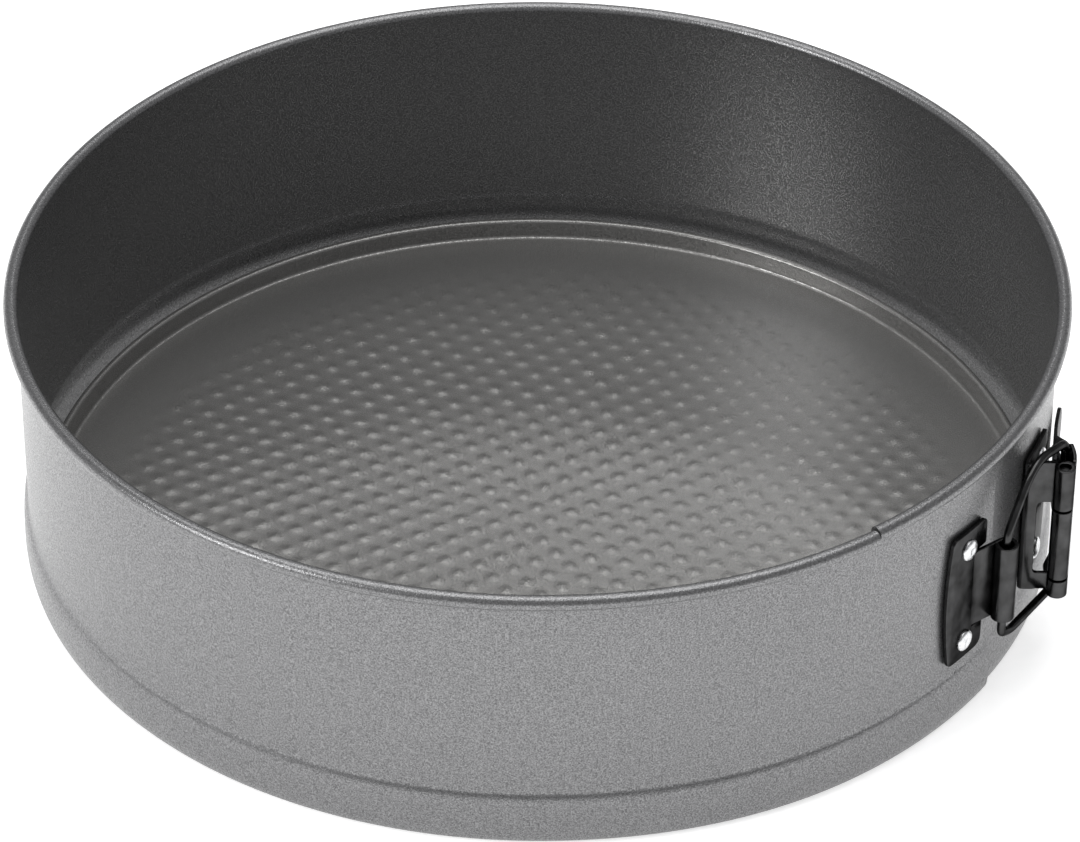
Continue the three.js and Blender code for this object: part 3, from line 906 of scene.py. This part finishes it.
def lever():
    """The sheet lever: middle knuckle, blade with a thumb tab, and the two ears."""
    path = lever_path()
    rolled = path.mark_near(PIVOT + Vector((PIVOT_KNUCKLE_R - LEVER_SHEET / 2, 0)))
    widen = rolled + PIVOT_KNUCKLE_R + 2 * PLAY
    past = path.mark_near(EARS_PAST)
    root = path.mark_near(BLADE_ROOT)
    end = path.marks[-1]
    knuckle_low = KNUCKLE_LOW + PLAY
    knuckle_high = KNUCKLE_HIGH - PLAY
    tip = arc(Vector((end - TIP_HALF, LATCH_Z)), TIP_HALF, -QUARTER, QUARTER, 24)
    outline = [
        (0.0, knuckle_low),
        (widen, knuckle_low),
        (widen, STACK_BOTTOM, 0.6),
        (past, STACK_BOTTOM, 1.2),
        (root, LATCH_Z - ROOT_HALF, 1.2),
        *tip,
        (root, LATCH_Z + ROOT_HALF, 1.2),
        (past, STACK_TOP, 1.2),
        (widen, STACK_TOP, 0.6),
        (widen, knuckle_high),
        (0.0, knuckle_high),
    ]
    bm = bmesh.new()
    bent_sheet(bm, path, rounded(outline), LEVER_SHEET)
    lever_ear(bm, STACK_TOP - METAL - 2 * PLAY)
    lever_ear(bm, STACK_BOTTOM + 2 * PLAY)
    obj = finish_mesh("latch_lever_formed", bm, BLACK)
    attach(obj, "lever")
    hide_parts("latch_lever")


def rounded_path(points, rounds):
    """Straight runs in space whose corners are rounded by the given amounts."""
    made = [points[0]]
    for i in range(1, len(points) - 1):
        corner = points[i]
        back = corner + (points[i - 1] - corner).normalized() * rounds[i - 1]
        ahead = corner + (points[i + 1] - corner).normalized() * rounds[i - 1]
        made += bezier([back, corner, ahead], 10)
    made.append(points[-1])
    return made


def tube(target, line, radius, sides=20):
    """A round wire along a line, with its frame carried on without twist."""
    across = Vector((0, 1, 0))
    rings = []
    last = len(line) - 1
    for i, here in enumerate(line):
        heading = (line[min(i + 1, last)] - line[max(i - 1, 0)]).normalized()
        across = (across - heading * across.dot(heading)).normalized()
        other = heading.cross(across)
        ring = []
        for k in range(sides):
            turn = 2 * math.pi * k / sides
            spoke = across * math.cos(turn) + other * math.sin(turn)
            ring.append(target.verts.new(here + spoke * radius))
        rings.append(ring)
    for a, b in zip(rings, rings[1:]):
        for k in range(sides):
            m = (k + 1) % sides
            target.faces.new((a[k], a[m], b[m], b[k]))
    target.faces.new(rings[0])
    target.faces.new(rings[-1])


def bail():
    """The wire loop: up from the catch knuckle, over to the lever's ears, down and back."""
    def over(share, height):
        """A place so far of the way from the near leg to the far one."""
        spot = CATCH.lerp(FAR_LEG, share)
        return Vector((spot.x, spot.y, height))

    points = [
        over(0, LATCH_Z + PLAY / 2),
        over(0, LATCH_Z + CATCH_KNUCKLE_HALF + NECK_ABOVE),
        over(0.42, BAIL_PEAK_Z),
        over(1, FAR_LEG_TOP),
        over(1, FAR_LEG_BOTTOM),
        over(0.16, BAIL_FOOT_Z),
        over(0, LATCH_Z - CATCH_KNUCKLE_HALF - NECK_BELOW),
        over(0, LATCH_Z - PLAY / 2),
    ]
    bends = [2.4, 6.5, 2.6, 2.6, 1.8, 1.2]
    bm = bmesh.new()
    tube(bm, rounded_path(points, bends), WIRE_R)
    obj = finish_mesh("wire_bail_round", bm, BLACK)
    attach(obj, "bail")
    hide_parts("wire_bail")


# ---------- stage ----------

def floor():
    """A sheet of pale paper that reaches past everything in view."""
    half = PAPER_HALF
    corners = [(-half, -half, 0), (half, -half, 0), (half, half, 0), (-half, half, 0)]
    mesh = bpy.data.meshes.new("floor")
    mesh.from_pydata(corners, [], [(0, 1, 2, 3)])
    mesh.materials.append(floor_paper())
    obj = bpy.data.objects.new("floor", mesh)
    bpy.context.scene.collection.objects.link(obj)


def beside_camera(turn, elevation, distance):
    """A place at an angle round from the camera, anticlockwise seen from above."""
    level = polar(distance * math.cos(elevation), CAMERA_AZ + turn)
    return Vector((level.x, level.y, distance * math.sin(elevation)))


def softbox(name, place, aim, width, height, radiance):
    """A rectangular area light that faces a point."""
    data = bpy.data.lights.new(name, "AREA")
    data.shape = "RECTANGLE"
    data.size = width
    data.size_y = height
    data.energy = radiance * math.pi * width * height
    obj = bpy.data.objects.new(name, data)
    obj.location = place
    obj.rotation_mode = "QUATERNION"
    obj.rotation_quaternion = (aim - place).to_track_quat("-Z", "Y")
    bpy.context.scene.collection.objects.link(obj)


def lights():
    """A big softbox overhead, a small one behind and one to the left."""
    overhead = beside_camera(180 * DEG, 81 * DEG, 1.6)
    softbox("overhead", overhead, PAN_MIDDLE, width=1.6, height=1.6, radiance=2.4)
    behind = beside_camera(175.7 * DEG, 36.3 * DEG, 1.5)
    softbox("behind", behind, FLOOR_SPOT, width=0.2, height=0.2, radiance=3.0)
    left = beside_camera(-62 * DEG, 31 * DEG, 1.6)
    softbox("left", left, PAN_MIDDLE, width=0.8, height=0.6, radiance=6.6)


def world():
    """An even grey room."""
    made = bpy.data.worlds.new("studio")
    made.use_nodes = True
    background = made.node_tree.nodes["Background"]
    background.inputs["Color"].default_value = ROOM_GREY
    background.inputs["Strength"].default_value = 1.0
    bpy.context.scene.world = made


def camera():
    """A long lens at three-quarter height, rolled by a hair."""
    data = bpy.data.cameras.new("camera")
    data.lens = CAMERA_LENS
    data.sensor_width = CAMERA_SENSOR
    obj = bpy.data.objects.new("camera", data)
    obj.location = beside_camera(0, CAMERA_EL, CAMERA_DISTANCE)
    forward = (CAMERA_AIM - obj.location).normalized()
    level = forward.to_track_quat("-Z", "Y")
    obj.rotation_mode = "QUATERNION"
    obj.rotation_quaternion = Quaternion(forward, CAMERA_ROLL) @ level
    bpy.context.scene.collection.objects.link(obj)
    bpy.context.scene.camera = obj


ring_pieces()
base_disc()
catch_bracket()
hinge_bracket()
rivets()
hinge_pin()
lever()
bail()
floor()
lights()
world()
camera()
bpy.context.scene.view_settings.view_transform = "Standard"
